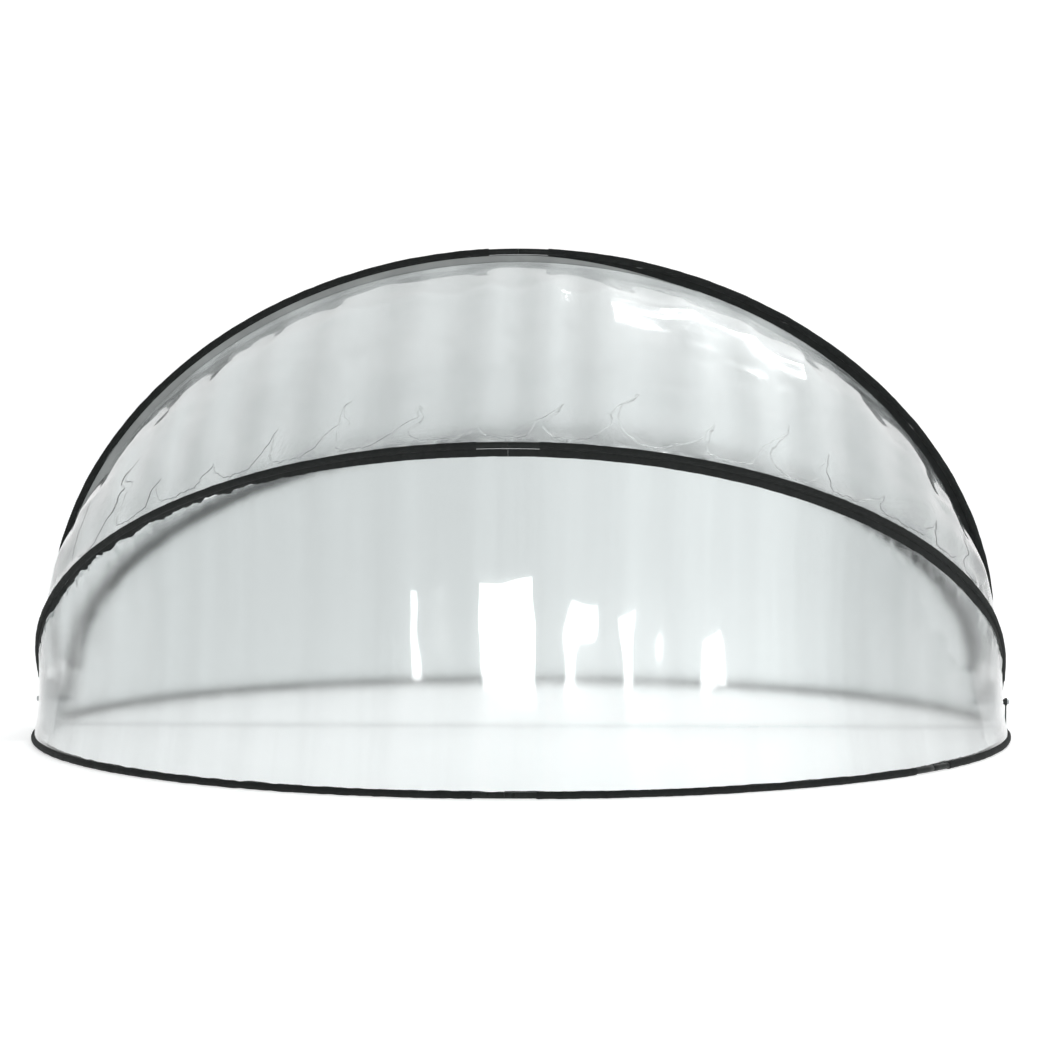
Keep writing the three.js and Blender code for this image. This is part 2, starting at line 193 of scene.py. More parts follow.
def sweep(path, sections):
    """A solid of the given cross-sections along a path, as (points, faces, uv).

    path is (centres, outward, normal). Each section has one outline per station, as outward and normal
    distances from the centre. A second section makes it hollow.
    """
    centre, outward, normal = path
    count = len(centre)
    steps = np.linalg.norm(np.diff(centre, axis=0), axis=1)
    along = np.concatenate([[0], np.cumsum(steps)])
    points = []
    uv = []
    faces = []
    for section in sections:
        place = centre[:, None] + outward[:, None] * section[..., :1]
        place = place + normal[:, None] * section[..., 1:]
        points.append(place.reshape(-1, 3))
        sides = np.linalg.norm(np.roll(section, -1, axis=1) - section, axis=2)
        around = np.cumsum(sides, axis=1) - sides
        along_rows = np.broadcast_to(along[:, None], around.shape)
        uv.append(np.stack([along_rows, around], axis=2).reshape(-1, 2))
    corners = sections[0].shape[1]
    for shell in range(len(sections)):
        first = shell * count * corners
        for station in range(count - 1):
            here = first + station * corners
            for corner in range(corners):
                after = (corner + 1) % corners
                ahead = here + corners
                faces.append((here + corner, here + after, ahead + after, ahead + corner))
    for station in (0, count - 1):
        outer = station * corners
        if len(sections) == 1:
            faces.append(tuple(outer + corner for corner in range(corners)))
            continue
        inner = count * corners + outer
        for corner in range(corners):
            after = (corner + 1) % corners
            faces.append((outer + corner, outer + after, inner + after, inner + corner))
    return np.vstack(points), faces, np.vstack(uv)


def circle(radius):
    """A round outline for each station. radius has one number per station, or one per corner too."""
    radius = np.asarray(radius, float)
    if radius.ndim == 1:
        radius = radius[:, None]
    turn = math.pi + 2 * math.pi * np.arange(ROUND_CORNERS) / ROUND_CORNERS
    return np.stack([radius * np.cos(turn), radius * np.sin(turn)], axis=2)


def stations(start, end, hoop, step):
    """Even angles from start to end, at most about step metres of tube apart."""
    count = max(2, int(math.ceil((end - start) * hoop.radius_y / step)) + 1)
    return np.linspace(start, end, count)


# ---- materials -------------------------------------------------------------------------
SHEET_TINT = (0.812, 0.835, 0.835)
PAINTED_BAND_SHADE = 0.92  # painted shade of the upper front panel beyond its scalloped crease
FOLD_HALF_WIDTH = 0.165  # metres, for the pointed folds
PEAK_POWER = 4.5  # the higher, the narrower the pointed folds are above their foot


def new_material(name):
    material = bpy.data.materials.new(name)
    material.use_nodes = True
    tree = material.node_tree
    return material, tree, tree.nodes["Principled BSDF"]


def node(tree, kind, inputs=(), **settings):
    """A new node. Each input is linked if it is given a socket, and set otherwise."""
    made = tree.nodes.new(kind)
    for key, value in settings.items():
        setattr(made, key, value)
    for key, value in dict(inputs).items():
        if isinstance(value, bpy.types.NodeSocket):
            tree.links.new(value, made.inputs[key])
        else:
            made.inputs[key].default_value = value
    return made


def maths(tree, operation, first, second=0.0):
    return node(tree, "ShaderNodeMath", {0: first, 1: second}, operation=operation).outputs[0]


def ramp(tree, factor, stops):
    made = node(tree, "ShaderNodeValToRGB", {"Fac": factor})
    elements = made.color_ramp.elements
    while len(elements) < len(stops):
        elements.new(0.5)
    for element, (place, colour) in zip(elements, stops):
        element.position = place
        element.color = (*colour, 1)
    return made.outputs["Color"]


def varied(tree, factor, low, high, start=0.3, end=0.7):
    """Goes with the factor from low to high. Both are colours, or both are numbers for a grey."""
    stops = []
    for place, value in ((start, low), (end, high)):
        stops.append((place, value if isinstance(value, tuple) else (value,) * 3))
    return ramp(tree, factor, stops)


def noise(tree, vector, scale, detail=3, roughness=0.5):
    inputs = {"Vector": vector, "Scale": scale, "Detail": detail, "Roughness": roughness}
    return node(tree, "ShaderNodeTexNoise", inputs).outputs["Fac"]


def bumped(tree, shader, height, strength, distance):
    inputs = {"Height": height, "Strength": strength, "Distance": distance}
    bump = node(tree, "ShaderNodeBump", inputs)
    tree.links.new(bump.outputs["Normal"], shader.inputs["Normal"])


def stepped(tree, value, low, high):
    """As smooth(), in nodes."""
    limits = {"Value": value, "From Min": low, "From Max": high}
    return node(tree, "ShaderNodeMapRange", limits, interpolation_type="SMOOTHSTEP").outputs[0]


def woven(tree, along_pitch, across_pitch):
    """The threads of a weave, from -1 to 1, from the piece's own lengths in metres."""
    uv = node(tree, "ShaderNodeTexCoord").outputs["UV"]
    split = node(tree, "ShaderNodeSeparateXYZ", {"Vector": uv})
    threads = []
    for socket, pitch in (("X", along_pitch), ("Y", across_pitch)):
        wave = maths(tree, "MULTIPLY", split.outputs[socket], 2 * math.pi / pitch)
        threads.append(maths(tree, "SINE", wave))
    return maths(tree, "MULTIPLY", threads[0], threads[1])


def split_uv(tree, uv_name):
    """A UV layer as a vector and as its two numbers."""
    uv = node(tree, "ShaderNodeUVMap", uv_map=uv_name).outputs["UV"]
    split = node(tree, "ShaderNodeSeparateXYZ", {"Vector": uv})
    return uv, split.outputs["X"], split.outputs["Y"]


def clamped(tree, value, low, high):
    return maths(tree, "MINIMUM", maths(tree, "MAXIMUM", value, low), high)


def fold_heights(tree, along):
    """How high the pointed folds reach above the panel's low edge, in metres: 0.08 to 0.5."""
    inputs = {"X": maths(tree, "MULTIPLY", along, 1.4), "Y": 3.0}
    step = node(tree, "ShaderNodeCombineXYZ", inputs)
    tall = stepped(tree, noise(tree, step.outputs[0], 1.0, 1), 0.32, 0.68)
    return maths(tree, "ADD", maths(tree, "MULTIPLY", tall, 0.42), 0.08)


def pointed_line(tree):
    """Metres past the ragged line where the folds end in points above the panel's low edge.

    It takes the nearer of the distances up to the line and sideways to it, as the points are steep.
    """
    uv, along, inward = split_uv(tree, "UVMap")
    _, phase, _ = split_uv(tree, "Folds")
    lean = maths(tree, "MULTIPLY", inward, 0.9)
    wander = maths(tree, "MULTIPLY", noise(tree, uv, 3.5, 2), 0.9)
    shifted = maths(tree, "ADD", maths(tree, "ADD", phase, lean), wander)
    twice = maths(tree, "MULTIPLY", maths(tree, "FRACT", shifted), 2.0)
    away = maths(tree, "ABSOLUTE", maths(tree, "SUBTRACT", twice, 1.0))
    tall = fold_heights(tree, along)
    frayed = maths(tree, "MULTIPLY", noise(tree, uv, 22, 3, 0.65), 0.07)
    height = maths(tree, "SUBTRACT", inward, frayed)
    peak = maths(tree, "POWER", maths(tree, "SUBTRACT", 1.0, away), PEAK_POWER)
    above = maths(tree, "SUBTRACT", height, maths(tree, "MULTIPLY", peak, tall))
    share = clamped(tree, maths(tree, "DIVIDE", height, tall), 0.0, 1.0)
    narrow = maths(tree, "SUBTRACT", 1.0, maths(tree, "POWER", share, 1 / PEAK_POWER))
    beside = maths(tree, "MULTIPLY", maths(tree, "SUBTRACT", away, narrow), FOLD_HALF_WIDTH)
    over_tip = maths(tree, "MAXIMUM", maths(tree, "SUBTRACT", height, tall), 0.0)
    beside = maths(tree, "ABSOLUTE", maths(tree, "ADD", beside, over_tip))
    nearest = maths(tree, "MINIMUM", maths(tree, "ABSOLUTE", above), beside)
    return maths(tree, "MULTIPLY", nearest, maths(tree, "SIGN", above))


def painted_fold_shade(tree, depth, band):
    """Painted light and shade along the folds, and a painted darker band above the crease if asked, as
    a factor on the colour.
    """
    _, phase, below = split_uv(tree, "Folds")
    # painted light and shade: lighter and darker stripes along the flutes
    painted_fold_waves = maths(tree, "SINE", maths(tree, "MULTIPLY", phase, 2 * math.pi))
    painted_fold_waves = maths(tree, "ADD", maths(tree, "MULTIPLY", painted_fold_waves, 0.5), 0.5)
    shade = maths(tree, "SUBTRACT", 1.0, maths(tree, "MULTIPLY", painted_fold_waves, depth))
    if not band:
        return shade
    # painted shade: the sheet's colour is darker in a band above the crease
    past = stepped(tree, below, -0.05, 0.02)
    painted_band_shade = maths(tree, "ADD", maths(tree, "MULTIPLY", past, 1 - PAINTED_BAND_SHADE), PAINTED_BAND_SHADE)
    return maths(tree, "MULTIPLY", shade, painted_band_shade)


def sheet_height(tree, place, fine, dents):
    """Sharp-edged raised patches, fine wrinkles and shallow dents, as a height for the bump."""
    patches = stepped(tree, noise(tree, place, 1.7, 2, 0.45), 0.62, 0.632)
    height = maths(tree, "MULTIPLY", patches, 0.3)
    wrinkles = maths(tree, "MULTIPLY", noise(tree, place, 9, 3), fine)
    height = maths(tree, "ADD", height, wrinkles)
    hollows = maths(tree, "MULTIPLY", noise(tree, place, 5, 2, 0.6), dents)
    return maths(tree, "ADD", height, hollows)


def with_pointed_folds(tree, height, shade):
    """Adds a step in height, and painted shade as a dark outline along the pointed folds."""
    beyond = pointed_line(tree)
    rise = maths(tree, "MULTIPLY", stepped(tree, beyond, -0.006, 0.006), 0.6)
    # painted shade: a thin dark line in the colour along the edge of each pointed fold
    beside = stepped(tree, maths(tree, "ABSOLUTE", beyond), 0.001, 0.008)
    outline = maths(tree, "ADD", maths(tree, "MULTIPLY", beside, 0.12), 0.88)
    return maths(tree, "ADD", height, rise), maths(tree, "MULTIPLY", shade, outline)


def with_painted_side_light_and_streaks(tree, shade, place):
    """Paints light into the sheet's colour towards the right and shade at the far right, and streaks it
    faintly.
    """
    across = node(tree, "ShaderNodeSeparateXYZ", {"Vector": place}).outputs["X"]
    # painted light: lighter towards the right, with painted shade at the far right
    painted_light_right = maths(tree, "MULTIPLY", stepped(tree, across, -0.5, 1.2), 0.09)
    painted_shade_far_right = maths(tree, "MULTIPLY", stepped(tree, across, 1.25, 1.9), 0.17)
    painted_side_light = maths(tree, "ADD", maths(tree, "SUBTRACT", painted_light_right, painted_shade_far_right), 0.965)
    shade = maths(tree, "MULTIPLY", shade, painted_side_light)
    uv, _, _ = split_uv(tree, "UVMap")
    stretch = (11.0, 0.35, 1.0)  # long and narrow streaks, from edge to edge of the panel
    drawn = node(tree, "ShaderNodeVectorMath", {0: uv, 1: stretch}, operation="MULTIPLY")
    streaks = maths(tree, "MULTIPLY", noise(tree, drawn.outputs[0], 1.0, 4, 0.65), 0.09)
    return maths(tree, "MULTIPLY", shade, maths(tree, "ADD", streaks, 0.955))


def clear_sheet_material(
    name, painted_fold_depth, fine, dents=0.0, painted_crease_band=False, pointed_folds=False
):
    """Clear soft PVC: see-through with a slight haze, a faint tint with painted light and shade in it,
    creases and a glossy skin.
    """
    material, tree, shader = new_material(name)
    place = node(tree, "ShaderNodeTexCoord").outputs["Object"]
    # painted light and shade along the folds and, if asked, a painted darker band above the crease
    shade = painted_fold_shade(tree, painted_fold_depth, painted_crease_band)
    height = sheet_height(tree, place, fine, dents)
    if pointed_folds:
        height, shade = with_pointed_folds(tree, height, shade)
    # painted light and shade across the sheet, and faint streaks
    shade = with_painted_side_light_and_streaks(tree, shade, place)
    tint = node(tree, "ShaderNodeVectorMath", {0: SHEET_TINT, "Scale": shade}, operation="SCALE")
    tree.links.new(tint.outputs[0], shader.inputs["Base Color"])
    haze = varied(tree, noise(tree, place, 1.3, 2), 0.125, 0.148)
    tree.links.new(haze, shader.inputs["Roughness"])
    settings = {
        "IOR": 1.2,
        "Transmission Weight": 1,
        "Coat Weight": 0.6,
        "Coat Roughness": 0.015,
        "Coat IOR": 1.5,
    }
    for key, value in settings.items():
        shader.inputs[key].default_value = value
    bumped(tree, shader, height, 0.5, 0.004)
    clear = node(tree, "ShaderNodeBsdfTransparent", {"Color": (0.96, 0.97, 0.97, 1)})
    shadow = node(tree, "ShaderNodeLightPath").outputs["Is Shadow Ray"]
    shaders = {"Fac": shadow, 1: shader.outputs[0], 2: clear.outputs[0]}
    mixed = node(tree, "ShaderNodeMixShader", shaders)
    tree.links.new(mixed.outputs[0], tree.nodes["Material Output"].inputs["Surface"])
    return material


def hem_material():
    """The clear sheet's doubled edge where it is welded over the fin: milky grey."""
    material, tree, shader = new_material("welded_hem")
    place = node(tree, "ShaderNodeTexCoord").outputs["Object"]
    dark = (0.25, 0.262, 0.258)
    light = (0.36, 0.375, 0.37)
    shade = varied(tree, noise(tree, place, 5, 3), dark, light)
    tree.links.new(shade, shader.inputs["Base Color"])
    shader.inputs["Roughness"].default_value = 0.4
    shader.inputs["Coat Weight"].default_value = 0.7
    shader.inputs["Coat Roughness"].default_value = 0.1
    bumped(tree, shader, noise(tree, place, 30, 3), 0.3, 0.002)
    return material


def fabric_material():
    """Black woven polyester, dusty in places, with soft creases."""
    material, tree, shader = new_material("sleeve_fabric")
    weave = woven(tree, 0.0016, 0.0016)
    place = node(tree, "ShaderNodeTexCoord").outputs["Object"]
    clean = (0.006, 0.0075, 0.007)
    dusty = (0.010, 0.012, 0.0115)
    shade = varied(tree, noise(tree, place, 14, 4, 0.6), clean, dusty, 0.25, 0.75)
    tree.links.new(shade, shader.inputs["Base Color"])
    worn = varied(tree, noise(tree, place, 40, 3), 0.82, 0.95)
    tree.links.new(worn, shader.inputs["Roughness"])
    creases = noise(tree, place, 22, 3, 0.6)
    height = maths(tree, "ADD", maths(tree, "MULTIPLY", weave, 0.1), creases)
    bumped(tree, shader, height, 0.3, 0.003)
    return material


def webbing_material():
    """Dark webbing, coarser than the sleeves' fabric."""
    material, tree, shader = new_material("strap_webbing")
    weave = woven(tree, 0.0022, 0.0026)
    factor = maths(tree, "ADD", maths(tree, "MULTIPLY", weave, 0.2), 0.5)
    tree.links.new(varied(tree, factor, 0.016, 0.045), shader.inputs["Base Color"])
    shader.inputs["Roughness"].default_value = 0.75
    bumped(tree, shader, weave, 0.4, 0.0006)
    return material


def metal_material(name, dark, light, metallic, rough, grain=60.0, bump=0.1):
    """Metal or coated metal with a little variation in colour and gloss."""
    material, tree, shader = new_material(name)
    place = node(tree, "ShaderNodeTexCoord").outputs["Object"]
    marks = noise(tree, place, grain, 4, 0.6)
    tree.links.new(varied(tree, marks, dark, light), shader.inputs["Base Color"])
    shader.inputs["Metallic"].default_value = metallic
    gloss = varied(tree, noise(tree, place, grain / 4, 3), *rough)
    tree.links.new(gloss, shader.inputs["Roughness"])
    bumped(tree, shader, marks, bump, 0.0008)
    return material


# Each panel's colour gets painted light and shade along its folds; the upper front panel also gets a
# painted darker band above its crease and painted shade along its pointed folds.
FRONT_CLEAR = clear_sheet_material("front_clear_sheet", painted_fold_depth=0.03, fine=0.22)
UPPER_CLEAR = clear_sheet_material(
    "upper_clear_sheet", painted_fold_depth=0.14, fine=0.4, dents=0.9, painted_crease_band=True, pointed_folds=True
)
REAR_CLEAR = clear_sheet_material("rear_clear_sheet", painted_fold_depth=0.02, fine=0.3)
HEM = hem_material()
FABRIC = fabric_material()
WEBBING = webbing_material()
TUBE = metal_material(
    "coated_tube", (0.016, 0.018, 0.017), (0.024, 0.027, 0.026), metallic=0.1, rough=(0.25, 0.36)
)
TUBE.node_tree.nodes["Principled BSDF"].inputs["Specular IOR Level"].default_value = 0.15
BLACK_STEEL = metal_material(
    "coated_steel", (0.028, 0.031, 0.03), (0.045, 0.05, 0.048), metallic=0.2, rough=(0.4, 0.55)
)
STEEL = metal_material(
    "plain_steel", (0.42, 0.44, 0.45), (0.56, 0.58, 0.59), metallic=1.0, rough=(0.3, 0.45),
    grain=90, bump=0.15,
)
NYLON = metal_material("nylon", 0.022, 0.03, metallic=0.0, rough=(0.45, 0.6))


# ---- tubes -----------------------------------------------------------------------------
def tube(name, hoop, start, end, node_name, body):
    """A hollow tube with slightly rounded ends, in place of its CAD node."""
    turn = stations(start, end, hoop, 0.045)
    bevel = hoop.span(TUBE_ROUNDING)
    turn = np.concatenate([[turn[0], turn[0] + bevel], turn[1:-1], [turn[-1] - bevel, turn[-1]]])
    outer = np.full(len(turn), TUBE_RADIUS)
    outer[[0, -1]] -= TUBE_WALL / 5
    inner = np.full(len(turn), TUBE_RADIUS - TUBE_WALL)
    parts = sweep(hoop.at(turn), [circle(outer), circle(inner)])
    obj = finished(name, *parts, TUBE, 35)
    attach(obj, body)
    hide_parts(node_name)


# ---- sleeves ---------------------------------------------------------------------------
HEM_LENGTH = 0.024
HEM_RISE = 0.0009
FIN_STEPS = 5
FIN_TIP = 0.004  # the top hoop's fin at its ends
RING_FIN_LENGTH = 0.02
RING_LEAN = 0.35  # radians, of the ring's fins up from the ground
TOP_LEAN = 0.05  # radians, of the top hoop's fin towards the front


def pocket(hoop, turn, seed):
    """The part of a sleeve that goes round the tube, hollow, with a turned hem at each end."""
    path = hoop.at(turn)
    along = turn * hoop.radius_y
    around = (np.arange(ROUND_CORNERS) / ROUND_CORNERS * 2 * math.pi)[None, :]
    crease = ripple(seed, along[:, None], 0.03 * np.cos(around), 0.06, 0.4)
    crease = crease + 0.5 * ripple(seed + 1, along[:, None], 0.05 * np.sin(around), 0.03, 0.09)
    from_end = np.minimum(along - along[0], along[-1] - along)[:, None]
    hem = HEM_RISE * (1 - smooth(HEM_LENGTH, HEM_LENGTH + 0.004, from_end))
    outer = POCKET_OUTER - 0.0006 + 0.0005 * crease * smooth(0, 0.05, from_end) + hem
    inner = np.full(len(turn), POCKET_INNER)
    return sweep(path, [circle(outer), circle(inner)])


def leaning(reach, beside, lean):
    """Turns distances along and beside a fin into outward and normal ones.

    lean is the fin's angle from straight inward towards the front, in radians.
    """
    outward = -reach * np.cos(lean) - beside * np.sin(lean)
    normal = -reach * np.sin(lean) + beside * np.cos(lean)
    return outward, normal


def strip(path, reach, front, back, lean):
    """A flat strip along a path, between its front and its back beside the fin's middle."""
    front = np.stack([reach, front], axis=2)
    back = np.stack([reach, back], axis=2)[:, ::-1]
    flat = np.concatenate([front, back], axis=1)
    outward, normal = leaning(flat[..., 0], flat[..., 1], lean)
    return sweep(path, [np.stack([outward, normal], axis=2)])


def fin(hoop, turn, seed, lean, length, crumple):
    """The sewn edge of a sleeve: a flat strip that hangs from the pocket.

    lean, in radians, length and crumple have one number for each station.
    """
    along = turn * hoop.radius_y
    path = hoop.at(turn)
    share = np.linspace(0, 1, FIN_STEPS + 1)[None, :]
    wave = ripple(seed, along[:, None], 0 * share, 0.09, 0.5)
    edge = ripple(seed + 3, along[:, None], 0 * share, 0.04, 0.3)
    reach = FIN_ROOT + share * (length[:, None] + crumple[:, None] * 0.005 * edge)
    bow = share**2 * (0.0012 + 0.006 * crumple[:, None]) * wave
    half = FIN_THICKNESS / 2 * (1 - 0.35 * (share > 0.99))  # thinner at its free edge
    return strip(path, reach, bow - half, bow + half, lean[:, None])


def sleeve(name, hoop, start, end, fin_ends, body, seed, lean, length, crumple):
    """A pocket and its fin. lean, length and crumple are functions of the angle from the right."""
    pocket_turn = stations(start, end, hoop, 0.016)
    fin_turn = stations(fin_ends[0], fin_ends[1], hoop, 0.02)
    points, faces, uv = merged([
        pocket(hoop, pocket_turn, seed),
        fin(hoop, fin_turn, seed, lean(fin_turn), length(fin_turn), crumple(fin_turn)),
    ])
    points[:, 2] = np.maximum(points[:, 2], 0)  # flattened where it lies on the ground
    obj = finished(name, points, faces, uv, FABRIC, 50)
    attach(obj, body)
    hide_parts(name.replace("_cover", ""))


def same(value):
    """A function that gives the same value all round."""
    return lambda turn: np.full(len(turn), float(value))


def front_lean(turn):
    """The front hoop's fin hangs forward and down: less so on the left, and fully at both ends."""
    side = np.cos(turn)
    ends = smooth(0.86, 0.975, np.abs(side))
    between = 50 - 34 * smooth(0.25, 0.85, -side)
    return np.radians(between * (1 - ends) + 88 * ends)


def front_fin(turn):
    """The front hoop's fin is narrower on the left."""
    return FIN_LENGTH - 0.010 * smooth(0.05, 0.5, -np.cos(turn))


def top_fin(turn):
    """The top hoop's fin tapers off at both ends, so that it passes the rear hoop when they fold."""
    from_end = np.minimum(turn, math.pi - turn)
    return FIN_TIP + (FIN_LENGTH - FIN_TIP) * smooth(0.16, 0.30, from_end)


def front_crumple(turn):
    """The front hoop's fin is crumpled on the left."""
    side = np.cos(turn)
    return 0.1 + 0.9 * smooth(0.3, 0.6, -side) * (1 - smooth(0.85, 0.97, -side))


# How far from the hinge axis a tube and its sleeve start.
HOOP_STARTS = {"tube": 0.024, "sleeve": 0.232}
FRONT_RING_STARTS = {"tube": 0.022, "sleeve": 0.046}
REAR_RING_STARTS = {"tube": 0.060, "sleeve": 0.092}
COVERED = [
    # label, hoop, body, joints in degrees from the right, starts, fin's lean, fin's length, crumple
    ("front_hoop", FRONT, "front_hoop", [90], HOOP_STARTS, front_lean, front_fin, front_crumple),
    ("top_hoop", TOP, "top_hoop", [90], HOOP_STARTS, same(TOP_LEAN), top_fin, same(0.0)),
    ("rear_hoop", REAR, "base", [90], HOOP_STARTS, same(0), same(FIN_LENGTH), same(0.2)),
    (
        "front_ring", FRONT_RING, "front_ring", [90 - SIDE_JOINT, 90], FRONT_RING_STARTS,
        same(-RING_LEAN), same(RING_FIN_LENGTH), same(0.1),
    ),
    (
        "rear_ring", REAR_RING, "base", [90], REAR_RING_STARTS,
        same(RING_LEAN), same(RING_FIN_LENGTH), same(0.1),
    ),
]


def cover_hoop(label, hoop, body, joints, starts, lean, length, crumple, seed):
    """The tubes and sleeves of a hoop, with a bare window at each joint."""
    tube_start = hoop.turn_at(starts["tube"])
    sleeve_start = hoop.turn_at(starts["sleeve"])
    cuts = [tube_start, *[math.radians(joint) for joint in joints], math.pi - tube_start]
    half_gap = hoop.span(JOINT_GAP / 2)
    half_window = hoop.span(WINDOW_LENGTH / 2)
    seam = hoop.span(SEAM_GAP)
    setback = hoop.span(FIN_SETBACK)
    sides = ["right", "left"] if len(joints) == 1 else ["right", "middle", "left"]
    for index, side in enumerate(sides):
        first = index == 0
        last = index == len(sides) - 1
        low = cuts[index] + (0 if first else half_gap)
        high = cuts[index + 1] - (0 if last else half_gap)
        tube(f"{label}_tube_{side}_smooth", hoop, low, high, f"{label}_tube_{side}", body)
        pocket_low = sleeve_start if first else cuts[index] + half_window
        pocket_high = math.pi - sleeve_start if last else cuts[index + 1] - half_window
        fin_low = pocket_low + setback if first else cuts[index] + seam
        fin_high = pocket_high - setback if last else cuts[index + 1] - seam
        sleeve(
            f"{label}_sleeve_{side}_cover", hoop, pocket_low, pocket_high, (fin_low, fin_high),
            body, seed + 10 * index, lean, length, crumple,
        )


for number, row in enumerate(COVERED, start=1):
    cover_hoop(*row, seed=100 * number)

# ---- clear panels ----------------------------------------------------------------------
FLUTES = 23  # over the whole arc
CELL = {"along": 0.013, "across": 0.026}
ARC_RADIUS = 2.45  # turns angles into metres along a panel
BESIDE_SLEEVE = 0.0192  # from a tube's centre to a sheet that passes beside its sleeve


def flute_phase(turn, seed):
    """Counts the flutes from the right hinge, a little unevenly."""
    draw = np.random.default_rng(seed)
    crests = np.linspace(0, math.pi, FLUTES + 1)
    crests[1:-1] += draw.uniform(-0.2, 0.2, FLUTES - 1) * (crests[1] - crests[0])
    return np.interp(turn, crests, np.arange(FLUTES + 1))


def edge_line(hoop, turn, outward_by, normal_by):
    """A line along a hoop, at distances outward and along the normal from the tube's centre."""
    centre, outward, normal = hoop.at(turn)
    line = centre + outward * np.reshape(outward_by, (-1, 1))
    return line + normal * np.reshape(normal_by, (-1, 1))


def along_sleeve(hoop, side):
    """A panel's edge against a sleeve. side is 1 or -1: along the hoop's normal or against it."""
    return lambda turn: edge_line(hoop, turn, 0.0, side * BESIDE_SLEEVE)


def on_fin(hoop, turn, lean, reach, offset):
    """A line along a fin, at a distance from the tube's centre and beside the fin's middle."""
    outward_by, normal_by = leaning(reach, offset, lean)
    return edge_line(hoop, turn, outward_by, normal_by)


class Panel:
    """A grid of points between two hoops, with its distances in metres and its outward directions.

    It starts at an angle in degrees from the hinges. A negative sag makes it bulge outward.
    """

    def __init__(self, start, low_line, high_line, width, sag):
        length = math.pi * ARC_RADIUS * (1 - start / 90)
        self.turn = np.radians(np.linspace(start, 180 - start, int(length / CELL["along"])))
        even = np.linspace(0, 1, int(width / CELL["across"]))
        self.across = 0.5 * even + 0.25 * (1 - np.cos(math.pi * even))
        low = low_line(self.turn)
        high = high_line(self.turn)
        share = self.across[None, :, None]
        self.points = low[:, None] * (1 - share) + high[:, None] * share
        self.width = np.linalg.norm(high - low, axis=1)[:, None]
        self.from_low = self.across[None, :] * self.width
        self.from_high = (1 - self.across)[None, :] * self.width
        self.arc = (self.turn * ARC_RADIUS)[:, None]
        self.phase = flute_phase(self.turn, 5)[:, None]
        self.past_crease = np.ones(self.from_low.shape)
        self.out = self.directions()
        full = smooth(0.0, 0.9, self.width / width)
        self.move(-sag * full * 4 * self.across[None, :] * (1 - self.across[None, :]))

    def directions(self):
        along = np.gradient(self.points, axis=0)
        over = np.gradient(self.points, axis=1)
        out = np.cross(along, over)
        out /= np.linalg.norm(out, axis=2)[..., None]
        facing = np.einsum("ijk,ijk->ij", out, self.points - np.array([0, 0, 0.3]))
        return out * np.where(facing.mean() < 0, -1, 1)

    def move(self, amount):
        """Moves each point outward by its amount."""
        self.points = self.points + self.out * amount[..., None]

    def flutes(self, depth, seed, fade):
        """Waves round the arc, which fade out towards both edges."""
        self.phase = flute_phase(self.turn, seed)[:, None]
        phase = 2 * math.pi * self.phase
        height = smooth(0.0, fade, self.from_low) * smooth(0.0, fade, self.from_high)
        uneven = 1 + 0.25 * ripple(seed + 1, self.arc, self.from_low, 0.8, 3.0)
        wander = 0.35 * ripple(seed + 2, self.arc, self.from_low, 0.9, 2.5)
        self.move(depth * height * uneven * np.cos(phase + wander))

    def crease(self, rise):
        """A scalloped crease a little below the high edge, where the sheet turns down."""
        line = 0.33 + 0.06 * np.abs(np.sin(math.pi * self.phase))
        line = line + 0.015 * ripple(61, self.arc, 0 * self.arc, 0.3, 1.2)
        line = line * (1 + 0.4 * smooth(0.35, 0.9, np.abs(np.cos(self.turn)))[:, None])
        room = smooth(0.25, 0.7, self.width)
        self.past_crease = self.from_high - line * room
        near = self.from_high / line
        far = 1 - (self.from_high - line)
        soft = 0.06
        ridge = 0.5 * (near + far - np.sqrt((near - far) ** 2 + soft**2))
        self.move(rise * room * np.maximum(ridge, 0) * smooth(0, 0.3, self.from_low))

    def unevenness(self, seed, strength=1.0):
        """Slow and quick irregular waves all over."""
        fade = 0.1
        inside = smooth(0.0, fade, self.from_low) * smooth(0.0, fade, self.from_high)
        slow = ripple(seed, self.arc, self.from_low, 0.5, 1.6)
        quick = ripple(seed + 1, self.arc, self.from_low, 0.13, 0.3)
        self.move(strength * inside * (0.004 * slow + 0.0006 * quick))

    def object(self, name, material):
        """A closed sheet of even thickness."""
        self.out = self.directions()
        half = SHEET_THICKNESS / 2
        skins = [self.points + self.out * half, self.points - self.out * half]
        rows, columns = self.points.shape[:2]
        index = np.arange(rows * columns).reshape(rows, columns)
        corners = [index[:-1, :-1], index[1:, :-1], index[1:, 1:], index[:-1, 1:]]
        quads = np.stack(corners, axis=2).reshape(-1, 4)
        rim = np.concatenate([index[:, 0], index[-1, 1:], index[-2::-1, -1], index[0, -2:0:-1]])
        after = np.roll(rim, -1)
        size = rows * columns
        walls = np.stack([rim, after, after + size, rim + size], axis=1)
        faces = np.vstack([quads, quads[:, ::-1] + size, walls[:, ::-1]])
        points = np.vstack([skin.reshape(-1, 3) for skin in skins])
        arc = np.broadcast_to(self.arc, index.shape)
        uv = np.stack([arc, self.from_low], axis=2).reshape(-1, 2)
        obj = finished(name, points, faces.tolist(), np.vstack([uv, uv]), material, 60)
        phase = np.broadcast_to(self.phase, index.shape)
        folds = np.stack([phase, self.past_crease], axis=2).reshape(-1, 2)
        add_uv(obj.data, "Folds", np.vstack([folds, folds]))
        return obj

    def weights(self):
        """How far each point is from the low edge to the high edge, by its angle about the hinge."""
        angle = np.arctan2(self.points[..., 2] - PIVOT_HEIGHT, -self.points[..., 1])
        angle = np.unwrap(angle, axis=1)
        first, last = angle[:, :1], angle[:, -1:]
        share = np.clip((angle - first) / (last - first), 0, 1).ravel()
        return np.concatenate([share, share])


